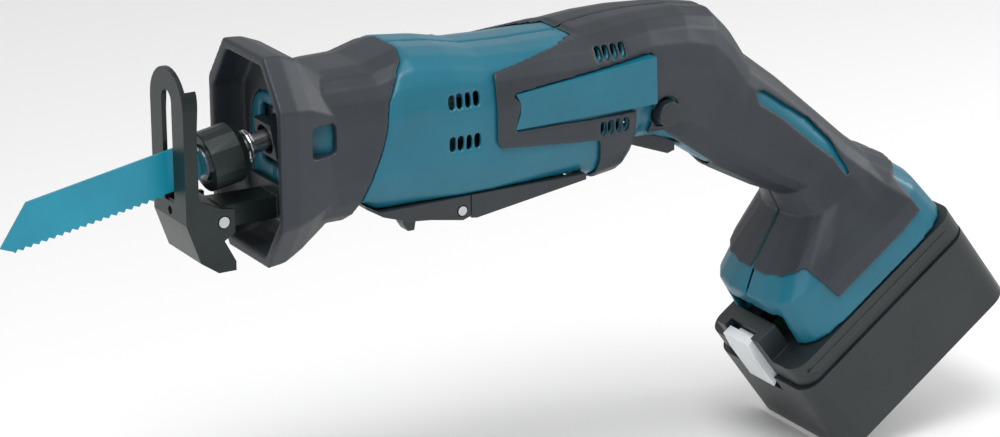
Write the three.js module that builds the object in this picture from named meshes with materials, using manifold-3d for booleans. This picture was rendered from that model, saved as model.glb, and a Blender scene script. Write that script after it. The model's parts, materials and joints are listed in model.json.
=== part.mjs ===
// Compact cordless reciprocating saw with a slide-on battery, as separate pieces.
// Millimetres. +X forward to the blade, +Y to the saw's left, +Z up, body level.
import * as THREE from 'three';
import { mergeVertices } from 'three/addons/utils/BufferGeometryUtils.js';
import Module from 'manifold-3d';

const wasm = await Module();
wasm.setup();

// ---- Driving dimensions ----
const GAP = 0.3;                    // clearance between neighbouring pieces
const ORIGIN = [156, 0, 35];        // row origin: on the shoe's front face, above the slot
const WALL = 2.8;                   // housing wall
const SKIN = 1.8;                   // soft grip layer over the housing
const RING = 20;                    // points round a lofted section

const STROKE_TILT = THREE.MathUtils.degToRad(10.3);   // blade line points down from the body
const STROKE_CENTRE = [132, -1.5];  // x, z of a point on the blade line
const CRANK_R = 6.5;                // half of the 13 mm stroke
const GEAR_X = 54;                  // drive gear axle, on the motor's height
const GEAR_R = 23;
const ROLLER_R = 5;
const YOKE_PLAY = 1.7;              // extra slot width each side of the roller

const PACK_TILT = THREE.MathUtils.degToRad(36);       // battery base against the body
const PACK_FRONT = 23;              // battery ends along its slide, from the motor axis
const PACK_REAR = 131;
const PACK_SPLIT = 201;             // lower case starts here, measured down from the motor axis
const PACK_BOTTOM = 242.4;
const PACK_HALF_WIDTH = 37.5;
const FOOT_BOTTOM = 188.6;

const SHOE_FACE = 156;
const SHOE_HALF = 15.5;
const SHOE_PLATE = 2.1;
const SHOE_PIVOT = [139, -25];

// ---- Materials ----
function finish(color, roughness, metalness = 0) {
  return new THREE.MeshStandardMaterial({ color, roughness, metalness });
}
const TEAL = finish(0x0f7089, 0.4);
const BLACK = finish(0x2e3a44, 0.6);
const RUBBER = finish(0x2a333d, 0.75);
const STEEL = finish(0x8d9196, 0.3, 1);
const DARK_STEEL = finish(0x3a4044, 0.4, 1);
const CAST = finish(0xa4a8ab, 0.5, 1);
const COPPER = finish(0xb8743f, 0.35, 1);
const SILVER = finish(0xdde2e4, 0.35);
const BLADE_PAINT = finish(0x008fa8, 0.4);
const BRASS = finish(0xb59a55, 0.35, 1);

// ---- Solid helpers ----
function toSolid(geometry) {
  const bare = geometry.clone();
  for (const name of Object.keys(bare.attributes)) {
    if (name !== 'position') bare.deleteAttribute(name);
  }
  const merged = mergeVertices(bare, 1e-4);
  return new wasm.Manifold(new wasm.Mesh({
    numProp: 3,
    vertProperties: new Float32Array(merged.attributes.position.array),
    triVerts: new Uint32Array(merged.index.array),
  }));
}
function toGeometry(solid) {
  const mesh = solid.getMesh();
  const geometry = new THREE.BufferGeometry();
  geometry.setAttribute('position', new THREE.BufferAttribute(new Float32Array(mesh.vertProperties), 3));
  geometry.setIndex(new THREE.BufferAttribute(new Uint32Array(mesh.triVerts), 1));
  return geometry;
}
function combine(method, first, others) {
  let solid = toSolid(first);
  for (const other of others) solid = solid[method](toSolid(other));
  return toGeometry(solid);
}
const join = (first, ...others) => combine('add', first, others);
const cut = (first, ...others) => combine('subtract', first, others);
const keep = (first, ...others) => combine('intersect', first, others);

// ---- Shape helpers: every one returns a closed geometry in saw coordinates ----
function box(x0, x1, y0, y1, z0, z1) {
  const geometry = new THREE.BoxGeometry(x1 - x0, y1 - y0, z1 - z0);
  return geometry.translate((x0 + x1) / 2, (y0 + y1) / 2, (z0 + z1) / 2);
}
// An X-Z outline given width across Y.
function prism(outline, y0, y1) {
  const shape = new THREE.Shape(outline.map(([x, z]) => new THREE.Vector2(x, z)));
  const geometry = new THREE.ExtrudeGeometry(shape, { depth: y1 - y0, bevelEnabled: false, curveSegments: 6 });
  geometry.rotateX(Math.PI / 2);
  return geometry.translate(0, y1, 0);
}
// A cylinder or ring along X, turned from [along, radius] points.
function turned(profile, sides = 20) {
  const points = profile.map(([x, r]) => new THREE.Vector2(r, x));
  return new THREE.LatheGeometry(points, sides).rotateZ(-Math.PI / 2);
}
function rod(x0, x1, r, sides = 20) {
  return turned([[x0, 0], [x0, r], [x1, r], [x1, 0]], sides);
}
function ring(x0, x1, inner, outer, sides = 20) {
  return turned([[x0, inner], [x0, outer], [x1, outer], [x1, inner], [x0, inner]], sides);
}
// A cylinder along Y at x, z.
function pin(x, z, y0, y1, r, sides = 16) {
  return new THREE.CylinderGeometry(r, r, y1 - y0, sides).translate(x, (y0 + y1) / 2, z);
}
function mirrored(geometry) {
  const flipped = mergeVertices(geometry.clone()).scale(1, -1, 1);
  const index = flipped.index.array;
  for (let i = 0; i < index.length; i += 3) [index[i], index[i + 1]] = [index[i + 1], index[i]];
  return flipped;
}
// The stroke frame has its origin on the blade line and its +X along the stroke.
function onStroke(geometry) {
  return geometry.rotateY(STROKE_TILT).translate(STROKE_CENTRE[0], 0, STROKE_CENTRE[1]);
}
// The pack frame runs u from the front of the pack to its back and v down to its base.
function packPoint(u, v) {
  const c = Math.cos(PACK_TILT);
  const s = Math.sin(PACK_TILT);
  return [-u * c - v * s, u * s - v * c];
}
function packPrism(outline, y0, y1) {
  return prism(outline.map(([u, v]) => packPoint(u, v)), y0, y1);
}
function packBox(u0, u1, y0, y1, v0, v1) {
  return packPrism([[u0, v0], [u1, v0], [u1, v1], [u0, v1]], y0, y1);
}

// Joins rings of points, given front to back, into one closed skin.
function skin(points, rings, size) {
  const index = [];
  const last = rings - 1;
  for (let s = 0; s < last; s += 1) {
    for (let k = 0; k < size; k += 1) {
      const a = s * size + k;
      const b = s * size + ((k + 1) % size);
      index.push(a, a + size, b, b, a + size, b + size);
    }
  }
  for (let k = 1; k < size - 1; k += 1) {
    index.push(0, k, k + 1);
    index.push(last * size, last * size + k + 1, last * size + k);
  }
  const geometry = new THREE.BufferGeometry();
  geometry.setAttribute('position', new THREE.Float32BufferAttribute(points, 3));
  geometry.setIndex(index);
  return geometry;
}

// A closed skin through sections, each with a top and a bottom point, a half width and a squareness.
function loft(sections, inset = 0) {
  const points = [];
  for (const { top, bottom, half, square } of sections) {
    const centre = [(top[0] + bottom[0]) / 2, (top[1] + bottom[1]) / 2];
    const arm = [top[0] - centre[0], top[1] - centre[1]];
    const height = Math.hypot(arm[0], arm[1]);
    const rise = (height - inset) / height;
    for (let k = 0; k < RING; k += 1) {
      const angle = (2 * Math.PI * (k + 0.5)) / RING;
      const power = 2 / square;
      const across = Math.sign(Math.cos(angle)) * Math.abs(Math.cos(angle)) ** power;
      const up = Math.sign(Math.sin(angle)) * Math.abs(Math.sin(angle)) ** power;
      points.push(centre[0] + arm[0] * rise * up, (half - inset) * across, centre[1] + arm[1] * rise * up);
    }
  }
  return skin(points, sections.length, RING);
}
const section = (top, bottom, half, square) => ({ top, bottom, half, square });

// ---- Housing outline, from the nose to the foot ----
const BODY_SECTIONS = [
  section([86, 31], [86, -34], 28.5, 3.6),
  section([72, 31], [72, -35], 29.5, 3.6),
  section([54, 36], [54, -36.5], 30, 3.6),
  section([36, 34], [36, -39], 30, 3.6),
  section([20, 30.5], [20, -38.5], 30, 3.6),
  section([0, 29.5], [0, -36], 30, 3.6),
  section([-30, 29.5], [-31, -34.5], 29.5, 3.4),
  section([-46, 31.5], [-47, -33], 28, 3.2),
  section([-62, 32], [-56, -22.5], 26, 3),
  section([-84, 31.2], [-69, -24], 23.5, 2.8),
  section([-101, 28], [-80, -28.5], 21.5, 2.6),
  section([-111, 18], [-90, -34], 20, 2.5),
  section([-120, 4.5], [-101, -41.5], 19, 2.4),
  section([-138, -9.5], [-114, -48.5], 18.5, 2.4),
  section([-158.5, -27.5], [-128, -56], 19, 2.4),
  section([-173.5, -41], [-141, -61.5], 21, 2.5),
  section(packPoint(119, 146), packPoint(76, 145), 25, 2.8),
  section(packPoint(126, 157), packPoint(50, 156), 31, 3.4),
  section(packPoint(130, 168), packPoint(38, 164), 34.5, 4.2),
  section(packPoint(131, FOOT_BOTTOM), packPoint(37, FOOT_BOTTOM), 36, 5),
];
const NOSE_SECTIONS = [
  section([108, 20], [108, -24], 21, 3.4),
  section([92, 26], [92, -29], 24, 3.4),
  section([72, 27], [72, -31], 25.5, 3.4),
  section([52, 31], [52, -32.5], 26, 3.4),
];
const SEAM = [[54, 60], [54, 36], [62, 28], [68, 18], [70, 5], [73, -5], [80, -21], [86, -34], [86, -220]];
const COVER_TOP = -28;
const COVER_JOINT = 30;
const COVER_HALF = 28.4;

// The region behind the boot seam, moved forward by shift.
function behindSeam(shift) {
  const edge = SEAM.map(([x, z]) => [x + shift, z]);
  return prism([...edge, [-300, -220], [-300, 60]], -60, 60);
}
const GRIP_BAND = [
  [-38, 50], [-30, 30], [18, 23], [24, 10], [23, 0], [17, -9.5], [-32, -14], [-37, -60],
  [-52, -60], [-52, -4], [10, -3], [7.5, 5], [7, 9], [11, 13], [-61, 19.5], [-61.5, -18],
  [-70, -18], [-102, -40.5], [-108, -52], packPoint(20, 132), packPoint(20, 156.5), packPoint(59, 156.5),
  packPoint(62, 176), packPoint(118, 176), packPoint(119, 157), packPoint(145, 157), [-260, 50],
];
const ACCENT = [
  [-120, -9], [-125, -10], [-150, -27], [-160, -38], [-166, -51], [-167, -56], [-160, -45], [-150, -37],
  [-135, -24], [-121, -14],
];
const TRIGGER_PULL = [-0.34, 0.94];
const TRIGGER_TRAVEL = 5;
const TRIGGER = [
  [-54.5, -26.5], [-60, -26], [-80, -33.5], [-83.5, -32.5], [-84, -28], [-78, -25.2], [-62, -19.8], [-56, -21],
];
const LOCK_OFF = [-68.5, -8.5];
const SCREWS = [[21, 25], [21, -24], [-50, 21], [-101, 6], [-127, -24], [-152, -45]];

function sideVents() {
  const slots = [];
  for (let i = 0; i < 4; i += 1) {
    slots.push(box(26 + 4 * i, 28.6 + 4 * i, 20, 40, 10, 17));
    slots.push(box(26 + 4 * i, 28.6 + 4 * i, 20, 40, -8, -1));
    slots.push(box(-47 + 4 * i, -44.4 + 4 * i, 18, 40, 20, 26));
    slots.push(box(-47 + 4 * i, -44.4 + 4 * i, 18, 40, -12, -6));
  }
  return slots;
}
function triggerPath() {
  const [dx, dz] = [TRIGGER_PULL[0] * TRIGGER_TRAVEL, TRIGGER_PULL[1] * TRIGGER_TRAVEL];
  const outline = [
    [-53, -34], [-53.5, -26], [-55.2, -18], [-61 + dx, -16 + dz], [-78 + dx, -21.5 + dz],
    [-86 + dx, -27 + dz], [-85.5, -36],
  ];
  return prism(outline, -10, 10);
}
function housingShell() {
  const outer = keep(loft(BODY_SECTIONS), behindSeam(0));
  const shell = join(outer, loft(NOSE_SECTIONS));
  const coverRoom = prism([[85, -21], [74, COVER_TOP], [-27, COVER_TOP], [-27, -50], [90, -50]], -60, 60);
  const railRoom = packBox(20, 122, -21.5, 21.5, 172, 200);
  return cut(
    shell,
    loft(BODY_SECTIONS.slice(2, -1), WALL),
    keep(loft(BODY_SECTIONS, WALL), packBox(40, 128, -60, 60, 150, FOOT_BOTTOM - WALL)),
    keep(loft(NOSE_SECTIONS, WALL), box(40, 105, -60, 60, -60, 60)),
    box(100, 112, -11, 11, -10, 15),
    coverRoom,
    railRoom,
    triggerPath(),
    pin(LOCK_OFF[0], LOCK_OFF[1], -40, 40, 6.2),
  );
}
function gripLayer() {
  const rear = BODY_SECTIONS.slice(4);
  const layer = cut(loft(rear, -SKIN), loft(BODY_SECTIONS, -GAP), box(19, 60, -60, 60, -60, 60));
  const band = cut(keep(layer, prism(GRIP_BAND, -60, 60)), prism(ACCENT, -60, 60));
  return cut(band, triggerPath(), pin(LOCK_OFF[0], LOCK_OFF[1], -40, 40, 7));
}
function screwRoom([x, z]) {
  return join(pin(x, z, -60, -18.7, 3.9), pin(x, z, -20, -6, 2.3));
}
const leftOf = (geometry) => keep(geometry, box(-300, 200, GAP / 2, 80, -250, 80));
const rightOf = (geometry) => keep(geometry, box(-300, 200, -80, -GAP / 2, -250, 80));

function largest(geometry) {
  const parts = toSolid(geometry).decompose();
  parts.sort((a, b) => b.volume() - a.volume());
  return toGeometry(parts[0]);
}
// A tray under the body, with upright sides and a chamfered edge all round.
function cover(outline, x0, x1) {
  const wide = prism(outline, -COVER_HALF, COVER_HALF);
  const room = box(x0 + 3, x1 - 3, -COVER_HALF + 4, COVER_HALF - 4, -31.5, 0);
  return cut(keep(wide, behindSeam(0)), room);
}
const COVER_FRONT = [[COVER_JOINT + GAP, COVER_TOP - GAP], [73.6, COVER_TOP - 0.6], [80.5, -24.5], [79.5, -26.5],
  [72, -31], [60, -35], [50, -36], [34, -38.8], [COVER_JOINT + GAP, -37.5]];
const COVER_REAR = [[-26.5, COVER_TOP - GAP], [COVER_JOINT, COVER_TOP - GAP], [COVER_JOINT, -38.4],
  [27, -38.8], [-26.5, -31]];

// ---- Boot ----
const CORNER = 0.55;                // share of each side left flat between the flare's corners
// The flared mouth is an octagon, leaning a little at its rim.
function flare(inset, x0, x1) {
  const stations = [[121, 43, -47.5, 33.5], [113, 42.5, -46.5, 33], [105, 39.5, -42.5, 31], [93, 30.5, -34.5, 27.5]];
  const points = [];
  for (const [x, top, bottom, half] of stations) {
    const middle = (top + bottom) / 2;
    const high = (top - bottom) / 2 - inset;
    const wide = half - inset;
    const corners = [[1, -CORNER], [1, CORNER], [CORNER, 1], [-CORNER, 1], [-1, CORNER], [-1, -CORNER], [-CORNER, -1], [CORNER, -1]];
    for (const [y, z] of corners) points.push(x, wide * y, middle + high * z);
  }
  return keep(skin(points, stations.length, 8), box(x0, x1, -60, 60, -60, 60));
}
function bootShape() {
  const tube = cut(loft(BODY_SECTIONS.slice(0, 4), -0.4), box(0, 52, -60, 60, -60, 60));
  const front = section([97, 30.6], [97, -34.2], 28, 3.8);
  const sleeve = loft([front, section([86, 31.4], [86, -34.4], 28.9, 3.6), section([84, 31.4], [84, -34.4], 28.9, 3.6)]);
  const solid = cut(join(tube, sleeve, flare(0, 90, 121)), behindSeam(GAP));
  return largest(cut(
    solid,
    loft(NOSE_SECTIONS, -GAP),
    flare(4.5, 107.5, 130),
    box(93, 105, 20, 40, 0, 13),
    box(93, 105, -40, -20, 0, 13),
  ));
}

// ---- Blade and clamp, in the stroke frame ----
function blade() {
  const outline = [[-4, 5], [10.5, 5], [13, 10.4], [86.7, 10.4], [101.7, -4.8], [97, -7.6]];
  for (let s = 96; s > 26; s -= 3.5) outline.push([s, -8.6], [s - 1.2, -7.3]);
  outline.push([20, -7.6], [13, -7.2], [10.5, -5], [-4, -5]);
  return onStroke(cut(prism(outline, -0.64, 0.64), pin(3, 0, -3, 3, 2)));
}
function clampBody() {
  const body = cut(rod(-9, 10, 7.5), box(-5, 12, -0.95, 0.95, -5.4, 5.4), rod(-14, -7, 4.8), pin(3, 0, -9, 9, 1.75));
  return onStroke(body);
}
const clampSleeve = () => onStroke(turned([[-8, 7.9], [-8, 10.5], [-5, 12.8], [9, 12.8], [9, 7.9], [-8, 7.9]], 24));
const lockPin = () => onStroke(pin(3, 0, -7.2, 7.2, 1.4, 10));
function clampSpring() {
  const coil = [];
  for (let i = 0; i <= 24; i += 1) {
    const a = (i / 24) * Math.PI * 4;
    coil.push(new THREE.Vector3(-13 + i * 0.12, 6.6 * Math.cos(a), 6.6 * Math.sin(a)));
  }
  const wire = new THREE.Shape().absarc(0, 0, 0.5, 0, 2 * Math.PI);
  const path = new THREE.CatmullRomCurve3(coil);
  const options = { steps: 24, bevelEnabled: false, extrudePath: path, curveSegments: 3 };
  return onStroke(new THREE.ExtrudeGeometry(wire, options));
}
// The plunger's yoke straddles the crank; its plate is set below the rod's line.
function plunger() {
  const gearAlong = (GEAR_X - STROKE_CENTRE[0]) * Math.cos(STROKE_TILT) + STROKE_CENTRE[1] * Math.sin(STROKE_TILT);
  const gearUp = (GEAR_X - STROKE_CENTRE[0]) * Math.sin(STROKE_TILT) - STROKE_CENTRE[1] * Math.cos(STROKE_TILT);
  const halfSlot = ROLLER_R + YOKE_PLAY;
  const plate = box(gearAlong - halfSlot - 2.8, gearAlong + halfSlot + 4, -4, 4, gearUp - 15, 6);
  const slot = box(gearAlong - halfSlot, gearAlong + halfSlot, -6, 6, gearUp - 12.4, gearUp + 6.5);
  const thick = rod(gearAlong + GEAR_R + 4, -30, 6);
  return onStroke(join(cut(plate, slot), thick, rod(gearAlong + halfSlot + 2, -7.4, 4.4)));
}

// ---- Drive ----
function driveGear() {
  const pieces = [];
  const teeth = 30;
  for (let i = 0; i < teeth; i += 1) {
    const tooth = box(17, GEAR_R - 0.2, 3.9, 5, -0.9, 0.9);
    pieces.push(tooth.rotateY((2 * Math.PI * i) / teeth));
  }
  const hub = pin(0, 0, 3.9, 5.4, 12, 24);
  const crankPin = pin(0, 0, 3.9, 13.4, 3, 12);
  crankPin.translate(-CRANK_R * Math.sin(STROKE_TILT), 0, -CRANK_R * Math.cos(STROKE_TILT));
  const disc = join(pin(0, 0, -5, 4, GEAR_R, 36), hub, crankPin, ...pieces);
  return cut(disc, pin(0, 0, -6, 1.5, 5.3)).translate(GEAR_X, -10, 0);
}
function crankRoller() {
  const x = GEAR_X - CRANK_R * Math.sin(STROKE_TILT);
  const z = -CRANK_R * Math.cos(STROKE_TILT);
  return cut(pin(x, z, -3.9, 3.6, ROLLER_R), pin(x, z, -5, 5, 3.3, 12));
}
function pinion() {
  const teeth = [];
  for (let i = 0; i < 6; i += 1) teeth.push(box(31.5, 36.5, -0.8, 0.8, 3.4, 4.55).rotateX((Math.PI * i) / 3));
  return cut(join(rod(31.5, 36.5, 3.9), ...teeth), rod(30, 38, 2.4));
}
const CASE_OUTER = [[27, -26.5], [27, 28], [58, 28], [78, 20], [103, 12], [103, -14], [85, -18], [66, -25], [58, -26.5]];
const CASE_INNER = [[29.6, -24.4], [29.6, 25.2], [57, 25.2], [76, 18], [91, 13], [91, -12], [84, -15.5], [65, -23], [57, -24.4]];
function gearCase() {
  const shell = cut(prism(CASE_OUTER, -19, 9), prism(CASE_INNER, -16, 12));
  const room = join(loft(NOSE_SECTIONS, WALL + GAP), keep(loft(BODY_SECTIONS, WALL + GAP), box(20, 54, -60, 60, -60, 60)));
  const bores = [rod(20, 40, 5), onStroke(rod(-46, -20, 9.3)), pin(GEAR_X, 0, -30, -10, 5.3)];
  return keep(cut(shell, ...bores), room);
}
function fan() {
  const blades = [];
  for (let i = 0; i < 8; i += 1) blades.push(box(14.5, 19, -0.6, 0.6, 8, 18.6).rotateX((Math.PI * i) / 4));
  return cut(join(rod(13, 14.7, 19), rod(13, 19, 8.4, 12), ...blades), rod(10, 22, 3.3));
}
function brushHolder() {
  const guides = [];
  for (const side of [-1, 1]) {
    for (const wall of [-1, 1]) {
      guides.push(box(-40.5, -30, Math.min(3.4 * wall, 5 * wall), Math.max(3.4 * wall, 5 * wall),
        Math.min(11 * side, 19 * side), Math.max(11 * side, 19 * side)));
    }
  }
  return join(ring(-43, -40, 5, 21, 24), ...guides);
}

// ---- Front guard ----
function shoe() {
  const side = [
    [SHOE_FACE, -24], [SHOE_FACE, 42], [149, 42], [149, 30], [150, 14], [150, -14],
    [140, -19], [134, -20], [134, -30], [139, -33], [134, -42.5], [134, -46.5], [142, -46.5], [150, -41],
  ];
  const inside = [[SHOE_FACE - SHOE_PLATE, -24], [SHOE_FACE - SHOE_PLATE, 50], [120, 50], [120, -44.2], [141, -44.2], [148.4, -39]];
  const half = SHOE_HALF - SHOE_PLATE;
  const body = cut(prism(side, -SHOE_HALF, SHOE_HALF), prism(inside, -half, half));
  const arch = new THREE.Shape([new THREE.Vector2(-60, -60), new THREE.Vector2(60, -60), new THREE.Vector2(60, 24.5),
    new THREE.Vector2(SHOE_HALF, 24.5)]).absarc(0, 24.5, SHOE_HALF, 0, Math.PI);
  arch.lineTo(-60, 24.5);
  const front = new THREE.ExtrudeGeometry(arch, { depth: 60, bevelEnabled: false, curveSegments: 8 });
  front.rotateX(Math.PI / 2).rotateZ(Math.PI / 2).translate(120, 0, 0);
  const slot = join(box(150, 160, -4.5, 4.5, -17, 26), rod(150, 160, 4.5).translate(0, 0, 26));
  const [x, z] = SHOE_PIVOT;
  return cut(keep(body, front), slot, rod(150, 160, 1.8).translate(0, 0, -21), pin(x, z, -20, 20, 2.8));
}
function shoeBracket() {
  const [x, z] = SHOE_PIVOT;
  const plate = box(108.4, 111, -16, 16, -31, -15.5);
  const beam = box(110, x, -8, 8, -30, -20.5);
  return cut(join(plate, beam, pin(x, z, -12.9, 12.9, 5.5)), pin(x, z, -20, 20, 2.8));
}

// ---- Switch gear ----
const lockOffButton = () => join(pin(...LOCK_OFF, -29.5, 29.5, 5.6, 20));
function switchBody() {
  return prism([[-66, 1], [-66, 16], [-90, 13], [-94, -6], [-82, -12], [-78, 0]], -9, 9);
}

// ---- Battery ----
function roundedPack(u0, u1, half, radius, v0, v1) {
  const shape = new THREE.Shape();
  shape.moveTo(u0 + radius, -half).lineTo(u1 - radius, -half);
  shape.absarc(u1 - radius, -half + radius, radius, -Math.PI / 2, 0);
  shape.absarc(u1 - radius, half - radius, radius, 0, Math.PI / 2);
  shape.absarc(u0 + radius, half - radius, radius, Math.PI / 2, Math.PI);
  shape.absarc(u0 + radius, -half + radius, radius, Math.PI, 1.5 * Math.PI);
  const geometry = new THREE.ExtrudeGeometry(shape, { depth: v1 - v0, bevelEnabled: false, curveSegments: 4 });
  // Local x is u, y is across and z is up: turned so that u points back and z points away from v.
  geometry.translate(0, 0, -v1).rotateZ(Math.PI);
  return geometry.rotateY(PACK_TILT);
}
function lowerCase() {
  const half = PACK_HALF_WIDTH;
  const outside = roundedPack(PACK_FRONT, PACK_REAR, half, 10, PACK_SPLIT, PACK_BOTTOM);
  const inside = roundedPack(PACK_FRONT + 2.5, PACK_REAR - 2.5, half - 2.5, 8, PACK_SPLIT - 5, PACK_BOTTOM - 2.5);
  const button = packPoint(PACK_REAR, 222);
  const hole = rod(-6, 6, 4.6, 16).rotateY(PACK_TILT).translate(button[0], 0, button[1]);
  const front = packBox(10, 30, -10.6, 10.6, 190, 210);
  return cut(outside, inside, hole, front);
}
function upperCase() {
  const lid = roundedPack(PACK_FRONT + 2, PACK_REAR, 36, 9, 189, PACK_SPLIT - GAP);
  const rail = packBox(50, 112, -17, 17, 179, 190);
  const flange = packBox(50, 112, -20.5, 20.5, 179, 182.5);
  const riser = packBox(PACK_FRONT + 2, 36.4, -17, 17, 176, 190);
  const pocket = packBox(20, 29.5, -10.6, 10.6, 170, 210);
  return cut(join(lid, rail, flange, riser), pocket, packBox(42, 110, -14, 14, 181.5, 210));
}
// Ten cells in their holder: a block with a rounded waist along each row.
function cellBlock() {
  return packPrism([[32, 206], [121, 206], [124, 211], [124, 219], [121, 221.5], [124, 224], [124, 233],
    [121, 237], [32, 237], [29, 233], [29, 224], [32, 221.5], [29, 219], [29, 211]], -32.5, 32.5);
}
function releaseButton() {
  const plate = [[22, 178], [27, 178], [27, 203], [21, 205.6], [21, 186]];
  return join(packPrism(plate, -10, 10), packBox(26, 29, -6, 6, 180, 186));
}
function chargeButton() {
  const [x, z] = packPoint(PACK_REAR, 222);
  return rod(-0.6, 3, 4.1, 16).rotateY(PACK_TILT).translate(x, 0, z);
}

// ---- Assembly ----
const saw = new THREE.Group();
saw.position.set(-ORIGIN[0], -ORIGIN[1], -ORIGIN[2]);
function add(name, geometry, material) {
  const mesh = new THREE.Mesh(geometry, material);
  mesh.name = name;
  saw.add(mesh);
}

const shell = housingShell();
const grip = gripLayer();
const rightRooms = SCREWS.map(screwRoom);
add('housing_left', largest(cut(leftOf(shell), ...sideVents())), TEAL);
add('housing_right', largest(cut(rightOf(shell), ...sideVents().map(mirrored), ...rightRooms)), TEAL);
add('grip_rubber_left', largest(cut(leftOf(grip), ...sideVents())), RUBBER);
add('grip_rubber_right', largest(cut(rightOf(grip), ...sideVents().map(mirrored), ...rightRooms)), RUBBER);
SCREWS.forEach(([x, z], i) => {
  add(`housing_screw_${i + 1}`, join(pin(x, z, -22, -19, 3.5), pin(x, z, -20, -6.5, 1.9, 12)), STEEL);
});
add('lower_cover_front', cut(cover(COVER_FRONT, COVER_JOINT, 74), pin(34.5, -34.5, 20, 60, 2.4)), BLACK);
add('lower_cover_rear', cover(COVER_REAR, -26.5, COVER_JOINT), BLACK);
add('lower_cover_screw', pin(34.5, -34.5, 24.7, 28.6, 2.1, 12), STEEL);
add('rest_stud', prism([[53, -36.1], [60, -35.4], [59, -38.5], [57, -41.5], [54, -41.5]], 15, 22), BLACK);
add('front_boot', bootShape(), RUBBER);

add('blade', blade(), BLADE_PAINT);
add('blade_clamp_body', clampBody(), STEEL);
add('blade_clamp_sleeve', clampSleeve(), DARK_STEEL);
add('blade_lock_pin', lockPin(), STEEL);
add('clamp_spring', clampSpring(), STEEL);
add('plunger', plunger(), STEEL);
add('plunger_bush', onStroke(ring(-45, -34, 6.3, 9, 20)), BRASS);
add('dust_seal', onStroke(ring(-33.5, -25.8, 6.4, 8.8, 20)), RUBBER);
add('nose_block', onStroke(cut(box(-25.5, -20.5, -8, 8, -8, 8), rod(-30, -10, 6.4))), BLACK);

add('gear_case', gearCase(), CAST);
add('gear_case_cover', keep(prism(CASE_OUTER, 9 + GAP, 11.5), loft(NOSE_SECTIONS, WALL + 4)), CAST);
add('drive_gear', driveGear(), STEEL);
add('drive_gear_axle', pin(GEAR_X, 0, -19, -8.9, 5), STEEL);
add('crank_roller', crankRoller(), STEEL);
add('motor_pinion', pinion(), STEEL);
add('armature_shaft', join(rod(-51, 30, 3), rod(29, 36.5, 2.1)), STEEL);
add('armature_core', ring(-24, 8, 3.3, 17.6, 24), COPPER);
add('commutator', ring(-38, -27, 3.3, 9, 20), COPPER);
add('cooling_fan', fan(), BLACK);
add('motor_can', ring(-28.5, 12, 18.6, 21, 28), DARK_STEEL);
add('brush_holder', brushHolder(), BLACK);
add('carbon_brush_upper', box(-37, -30, -3, 3, 9.4, 18), BLACK);
add('carbon_brush_lower', box(-37, -30, -3, 3, -18, -9.4), BLACK);
add('front_bearing', ring(20.5, 26.5, 3.3, 9.5, 20), STEEL);
add('rear_bearing', ring(-50, -45, 3.3, 9.5, 20), STEEL);

add('shoe', shoe(), DARK_STEEL);
add('shoe_bracket', shoeBracket(), DARK_STEEL);
add('shoe_pivot_pin', pin(...SHOE_PIVOT, -15.5, 15.5, 2.4, 14), STEEL);

add('trigger', prism(TRIGGER, -9, 9), BLACK);
add('switch_body', switchBody(), BLACK);
add('lock_off_button', lockOffButton(), BLACK);
add('terminal_block', packBox(60, 100, -13, 13, 158, 174), BLACK);

add('battery_lower_case', lowerCase(), BLACK);
add('battery_upper_case', upperCase(), BLACK);
add('cell_block', cellBlock(), BLACK);
add('battery_board', packBox(44, 108, -12, 12, 196, 198), BLACK);
add('battery_release_button', releaseButton(), SILVER);
add('charge_check_button', chargeButton(), BLACK);

export default saw;
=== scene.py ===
"""Looks for a compact cordless reciprocating saw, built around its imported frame."""
import json
import math

import bpy
from mathutils import Matrix, Vector


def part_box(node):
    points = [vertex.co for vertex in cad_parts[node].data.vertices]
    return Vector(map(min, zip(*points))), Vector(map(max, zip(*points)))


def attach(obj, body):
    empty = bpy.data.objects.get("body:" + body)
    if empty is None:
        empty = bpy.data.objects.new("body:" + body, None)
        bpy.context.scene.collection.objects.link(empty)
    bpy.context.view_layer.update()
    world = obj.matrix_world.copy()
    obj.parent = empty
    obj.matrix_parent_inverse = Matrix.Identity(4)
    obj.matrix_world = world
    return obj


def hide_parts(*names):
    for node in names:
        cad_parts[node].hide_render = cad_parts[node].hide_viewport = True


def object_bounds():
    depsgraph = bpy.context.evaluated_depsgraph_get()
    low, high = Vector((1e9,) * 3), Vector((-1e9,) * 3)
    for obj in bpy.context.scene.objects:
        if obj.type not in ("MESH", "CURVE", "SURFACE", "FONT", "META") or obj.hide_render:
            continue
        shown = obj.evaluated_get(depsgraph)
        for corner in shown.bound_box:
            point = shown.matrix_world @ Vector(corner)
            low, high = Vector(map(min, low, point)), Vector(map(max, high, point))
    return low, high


MM = 0.001
SHOE_FACE = 156          # shoe's front face ahead of the saw's middle, mm
PACK_TILT = math.radians(36)
VIEW_SIDE = math.radians(30)     # camera round from the left side towards the blade
VIEW_UP = math.radians(18.5)
VIEW_ROLL = math.radians(0.5)
VIEW_DISTANCE = 1.64
VIEW_LENS = 136.8
VIEW_TARGET = (0, 0, -52)        # mm from the motor axis

BLENDED = {                      # moulded pieces: voxel in mm, rounds of relaxing
    "housing_left": (0.9, 10),
    "grip_rubber_left": (0.6, 12),
    "housing_right": (0.9, 10),
    "grip_rubber_right": (0.6, 12),
    "front_boot": (0.8, 8),
    "trigger": (0.5, 6),
    "lock_off_button": (0.5, 5),
}
EDGED = ("lower_cover_front", "lower_cover_rear", "rest_stud", "shoe", "shoe_bracket",
         "battery_lower_case", "battery_upper_case", "battery_release_button",
         "blade_clamp_sleeve", "nose_block")
EDGE_RADIUS = 0.5                # mm, on pressed and turned pieces
WELD_REACH = 0.01                # mm

# x, z corners of the raised label panel, and the distances from the middle plane that it spans
LABEL = [(9.5, 13), (-60, 19), (-60.5, -2), (10, -2.5), (7.5, 4), (7.5, 9)]
LABEL_DEPTH = (24, 31.4)
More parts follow.
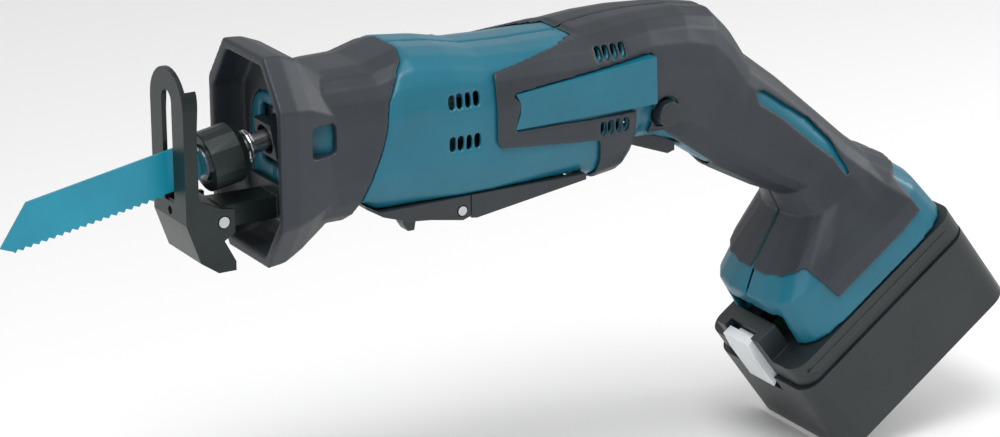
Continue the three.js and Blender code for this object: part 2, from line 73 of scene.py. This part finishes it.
# u, v corners of the raised band on the upper half of the pack, and the distances that it spans
PACK_BAND = [(30, 193.5), (122, 193.5), (122, 197.5), (34, 197.5)]
PACK_BAND_DEPTH = (34, 36.6)
BAND_RADIUS = 0.4

FLOOR_SIZE = 12
FLOOR_DROP = 0.001
FLOOR_GREY = 0.9
WORLD_STRENGTH = 0.62
LIGHTS = [                       # name, place from the view's target in m, size in m, watts
    ("key", (0.3, 0.5, 1.2), 0.7, 11),
    ("fill", (1.2, 1.0, 0.4), 0.8, 3),
    ("rim", (-1.2, 0.2, 0.6), 0.5, 6),
]

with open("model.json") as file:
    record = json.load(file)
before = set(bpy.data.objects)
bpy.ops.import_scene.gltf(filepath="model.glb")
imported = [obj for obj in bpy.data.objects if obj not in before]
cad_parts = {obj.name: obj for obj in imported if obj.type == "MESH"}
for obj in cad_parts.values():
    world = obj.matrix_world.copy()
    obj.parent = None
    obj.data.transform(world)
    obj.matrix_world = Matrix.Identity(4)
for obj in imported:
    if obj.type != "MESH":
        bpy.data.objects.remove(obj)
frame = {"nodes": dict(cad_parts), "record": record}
cad_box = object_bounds()
motor_low, motor_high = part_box("armature_shaft")
ORIGIN = Vector((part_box("shoe")[1][0] - SHOE_FACE * MM, 0, (motor_low[2] + motor_high[2]) / 2))


def at(x, y, z):
    """A point in the saw's own millimetres, measured from the motor axis, in the frame's metres."""
    return ORIGIN + Vector((x, y, z)) * MM


def pack_at(u, y, v):
    """A point on the pack: u from its front to its back, v down to its base."""
    c, s = math.cos(PACK_TILT), math.sin(PACK_TILT)
    return at(-u * c - v * s, y, u * s - v * c)


# ---- Camera, floor and light ----
def place_camera():
    side = Vector((-math.cos(VIEW_SIDE), math.sin(VIEW_SIDE), 0))
    back = Vector((math.sin(VIEW_SIDE) * math.cos(VIEW_UP), math.cos(VIEW_SIDE) * math.cos(VIEW_UP),
                   math.sin(VIEW_UP)))
    up = back.cross(side)
    right = side * math.cos(VIEW_ROLL) - up * math.sin(VIEW_ROLL)
    top = side * math.sin(VIEW_ROLL) + up * math.cos(VIEW_ROLL)
    place = at(*VIEW_TARGET) + back * VIEW_DISTANCE
    data = bpy.data.cameras.new("camera")
    data.sensor_width = 36
    data.lens = VIEW_LENS
    camera = bpy.data.objects.new("camera", data)
    turn = Matrix((right, top, back)).transposed().to_4x4()
    camera.matrix_world = Matrix.Translation(place) @ turn
    bpy.context.scene.collection.objects.link(camera)
    bpy.context.scene.camera = camera


def add_light(name, place, size, power, target):
    data = bpy.data.lights.new(name, "AREA")
    data.size = size
    data.energy = power
    light = bpy.data.objects.new(name, data)
    light.location = place
    light.rotation_euler = (Vector(place) - target).to_track_quat("Z", "Y").to_euler()
    bpy.context.scene.collection.objects.link(light)


def make_stage():
    low = cad_box[0]
    bpy.ops.mesh.primitive_plane_add(size=FLOOR_SIZE, location=(0, 0, low[2] - FLOOR_DROP))
    floor = bpy.context.object
    floor.name = "floor"
    material = new_material("pale_floor")
    node = material.node_tree.nodes["Principled BSDF"]
    node.inputs["Base Color"].default_value = (FLOOR_GREY, FLOOR_GREY, FLOOR_GREY, 1)
    node.inputs["Roughness"].default_value = 0.9
    floor.data.materials.append(material)
    world = bpy.data.worlds.new("studio")
    world.use_nodes = True
    background = world.node_tree.nodes["Background"]
    background.inputs["Color"].default_value = (1, 1, 1, 1)
    background.inputs["Strength"].default_value = WORLD_STRENGTH
    bpy.context.scene.world = world
    middle = at(*VIEW_TARGET)
    for name, place, size, power in LIGHTS:
        add_light(name, middle + Vector(place), size, power, middle)
    bpy.context.scene.view_settings.view_transform = "Standard"


# ---- Materials ----
def new_material(name):
    material = bpy.data.materials.new(name)
    material.use_nodes = True
    return material


DRIFT_SCALE = 35
DRIFT_RANGE = (0.3, 0.7)
GLOSS_BELOW = 0.06
GLOSS_ABOVE = 0.08
GRAIN_HEIGHT = 0.0003


def moulded(name, dark, light, roughness, grain, depth, metal=0.0, stretch=(1, 1, 1)):
    """A surface with slow colour drift, uneven gloss and a fine grain of the given size and depth."""
    material = new_material(name)
    tree = material.node_tree
    link = tree.links.new
    shader = tree.nodes["Principled BSDF"]
    shader.inputs["Metallic"].default_value = metal
    place = tree.nodes.new("ShaderNodeTexCoord")
    mapping = tree.nodes.new("ShaderNodeMapping")
    mapping.inputs["Scale"].default_value = stretch
    link(place.outputs["Object"], mapping.inputs["Vector"])
    drift = tree.nodes.new("ShaderNodeTexNoise")
    drift.inputs["Scale"].default_value = DRIFT_SCALE
    drift.inputs["Detail"].default_value = 5
    link(mapping.outputs["Vector"], drift.inputs["Vector"])
    ramp = tree.nodes.new("ShaderNodeValToRGB")
    ramp.color_ramp.elements[0].position = DRIFT_RANGE[0]
    ramp.color_ramp.elements[0].color = (*dark, 1)
    ramp.color_ramp.elements[1].position = DRIFT_RANGE[1]
    ramp.color_ramp.elements[1].color = (*light, 1)
    link(drift.outputs["Fac"], ramp.inputs["Fac"])
    link(ramp.outputs["Color"], shader.inputs["Base Color"])
    gloss = tree.nodes.new("ShaderNodeMapRange")
    gloss.inputs["To Min"].default_value = roughness - GLOSS_BELOW
    gloss.inputs["To Max"].default_value = roughness + GLOSS_ABOVE
    link(drift.outputs["Fac"], gloss.inputs["Value"])
    link(gloss.outputs["Result"], shader.inputs["Roughness"])
    fine = tree.nodes.new("ShaderNodeTexNoise")
    fine.inputs["Scale"].default_value = grain
    fine.inputs["Detail"].default_value = 2
    link(mapping.outputs["Vector"], fine.inputs["Vector"])
    bump = tree.nodes.new("ShaderNodeBump")
    bump.inputs["Strength"].default_value = depth
    bump.inputs["Distance"].default_value = GRAIN_HEIGHT
    link(fine.outputs["Fac"], bump.inputs["Height"])
    link(bump.outputs["Normal"], shader.inputs["Normal"])
    return material


BRUSHED = (1, 1, 14)             # grain drawn out round the piece
# slot: darkest colour, lightest colour, roughness, grain scale, grain depth, then metal and stretch
FINISHES = {
    "teal_shell": ((0.002, 0.105, 0.16), (0.003, 0.13, 0.195), 0.34, 2600, 0.12),
    "grip_rubber": ((0.013, 0.018, 0.024), (0.021, 0.028, 0.037), 0.46, 2200, 0.3),
    "black_plastic": ((0.012, 0.017, 0.021), (0.018, 0.025, 0.03), 0.42, 2000, 0.25),
    "pack_plastic": ((0.009, 0.014, 0.016), (0.014, 0.021, 0.023), 0.38, 2000, 0.22),
    "pack_board": ((0.01, 0.07, 0.04), (0.02, 0.1, 0.05), 0.5, 900, 0.2),
    "carbon": ((0.02, 0.02, 0.02), (0.04, 0.04, 0.04), 0.7, 2500, 0.4),
    "bright_steel": ((0.45, 0.46, 0.48), (0.62, 0.63, 0.65), 0.3, 900, 0.15, 1.0, BRUSHED),
    "dark_steel": ((0.008, 0.014, 0.014), (0.016, 0.025, 0.025), 0.32, 1500, 0.2, 0.4),
    "cast_case": ((0.5, 0.51, 0.52), (0.62, 0.63, 0.64), 0.5, 1200, 0.45, 1.0),
    "copper_winding": ((0.5, 0.22, 0.1), (0.7, 0.35, 0.18), 0.35, 700, 0.5, 1.0, BRUSHED),
    "bush_bronze": ((0.5, 0.36, 0.16), (0.62, 0.47, 0.24), 0.4, 1500, 0.2, 1.0),
    "blade_paint": ((0.0, 0.2, 0.3), (0.002, 0.25, 0.36), 0.35, 1400, 0.1),
    "silver_plastic": ((0.62, 0.66, 0.69), (0.78, 0.81, 0.84), 0.35, 1600, 0.12),
}
MATERIALS = {slot: moulded(slot, *values) for slot, values in FINISHES.items()}


def node_slots():
    return {row["node"]: row["material_slot"] for row in frame["record"]["subparts"]}


def node_bodies():
    bodies = frame["record"]["behaviour"]["bodies"]
    return {node: body for body, nodes in bodies.items() for node in nodes}


SLOTS = node_slots()
BODIES = node_bodies()


def finish_cad_nodes():
    for name, obj in frame["nodes"].items():
        obj.data.materials.clear()
        obj.data.materials.append(MATERIALS[SLOTS[name]])


# ---- Pieces ----
def applied(obj):
    """Applies every modifier, so that the mesh is the final shape."""
    view = bpy.context.evaluated_depsgraph_get()
    mesh = bpy.data.meshes.new_from_object(obj.evaluated_get(view))
    obj.modifiers.clear()
    obj.data = mesh


def copy_of(node):
    source = frame["nodes"][node]
    piece = bpy.data.objects.new(node + "_shape", source.data.copy())
    bpy.context.scene.collection.objects.link(piece)
    return piece


def dress(piece, node, slot=None):
    slot = slot or SLOTS[node]
    piece.data.materials.clear()
    piece.data.materials.append(MATERIALS[slot])
    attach(piece, BODIES[node])


def weld(piece):
    modifier = piece.modifiers.new("weld", "WELD")
    modifier.merge_threshold = WELD_REACH * MM


def moulded_piece(node, voxel, rounds):
    """A moulded form: the CAD shape remeshed finely and relaxed, so that its facets flow together."""
    piece = copy_of(node)
    weld(piece)
    remesh = piece.modifiers.new("remesh", "REMESH")
    remesh.mode = "VOXEL"
    remesh.voxel_size = voxel * MM
    relax = piece.modifiers.new("relax", "SMOOTH")
    relax.factor = 0.5
    relax.iterations = rounds
    applied(piece)
    piece.data.shade_smooth()
    dress(piece, node)
    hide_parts(node)


def edged_piece(node, width):
    """A pressed or turned form: the CAD shape with its edges rounded."""
    piece = copy_of(node)
    weld(piece)
    bevel = piece.modifiers.new("bevel", "BEVEL")
    bevel.width = width * MM
    bevel.segments = 3
    bevel.limit_method = "ANGLE"
    bevel.angle_limit = math.radians(35)
    bevel.harden_normals = True
    applied(piece)
    dress(piece, node)
    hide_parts(node)


def slab(name, corners, y0, y1, node, slot, width):
    """A raised panel between two depths, with rounded edges, over an outline of points."""
    count = len(corners)
    points = [Vector((p.x, y * MM, p.z)) for y in (y0, y1) for p in corners]
    faces = [tuple(range(count)), tuple(range(2 * count - 1, count - 1, -1))]
    faces += [(i, i + count, (i + 1) % count + count, (i + 1) % count) for i in range(count)]
    mesh = bpy.data.meshes.new(name)
    mesh.from_pydata(points, [], faces)
    piece = bpy.data.objects.new(name, mesh)
    bpy.context.scene.collection.objects.link(piece)
    bpy.context.view_layer.objects.active = piece
    bpy.ops.object.mode_set(mode="EDIT")
    bpy.ops.mesh.select_all(action="SELECT")
    bpy.ops.mesh.normals_make_consistent(inside=False)
    bpy.ops.object.mode_set(mode="OBJECT")
    bevel = piece.modifiers.new("bevel", "BEVEL")
    bevel.width = width * MM
    bevel.segments = 3
    bevel.harden_normals = True
    applied(piece)
    dress(piece, node, slot)


place_camera()
make_stage()
finish_cad_nodes()

for name, (voxel, rounds) in BLENDED.items():
    moulded_piece(name, voxel, rounds)
for name in EDGED:
    edged_piece(name, EDGE_RADIUS)
for side, tag in ((-1, "right"), (1, "left")):
    near, far = (depth * side for depth in PACK_BAND_DEPTH)
    slab("pack_band_" + tag, [pack_at(u, 0, v) for u, v in PACK_BAND], near, far,
         "battery_upper_case", "pack_plastic", BAND_RADIUS)
    near, far = (depth * side for depth in LABEL_DEPTH)
    slab("label_panel_" + tag, [at(x, 0, z) for x, z in LABEL], near, far,
         "housing_" + tag, "teal_shell", EDGE_RADIUS)

bpy.context.view_layer.update()
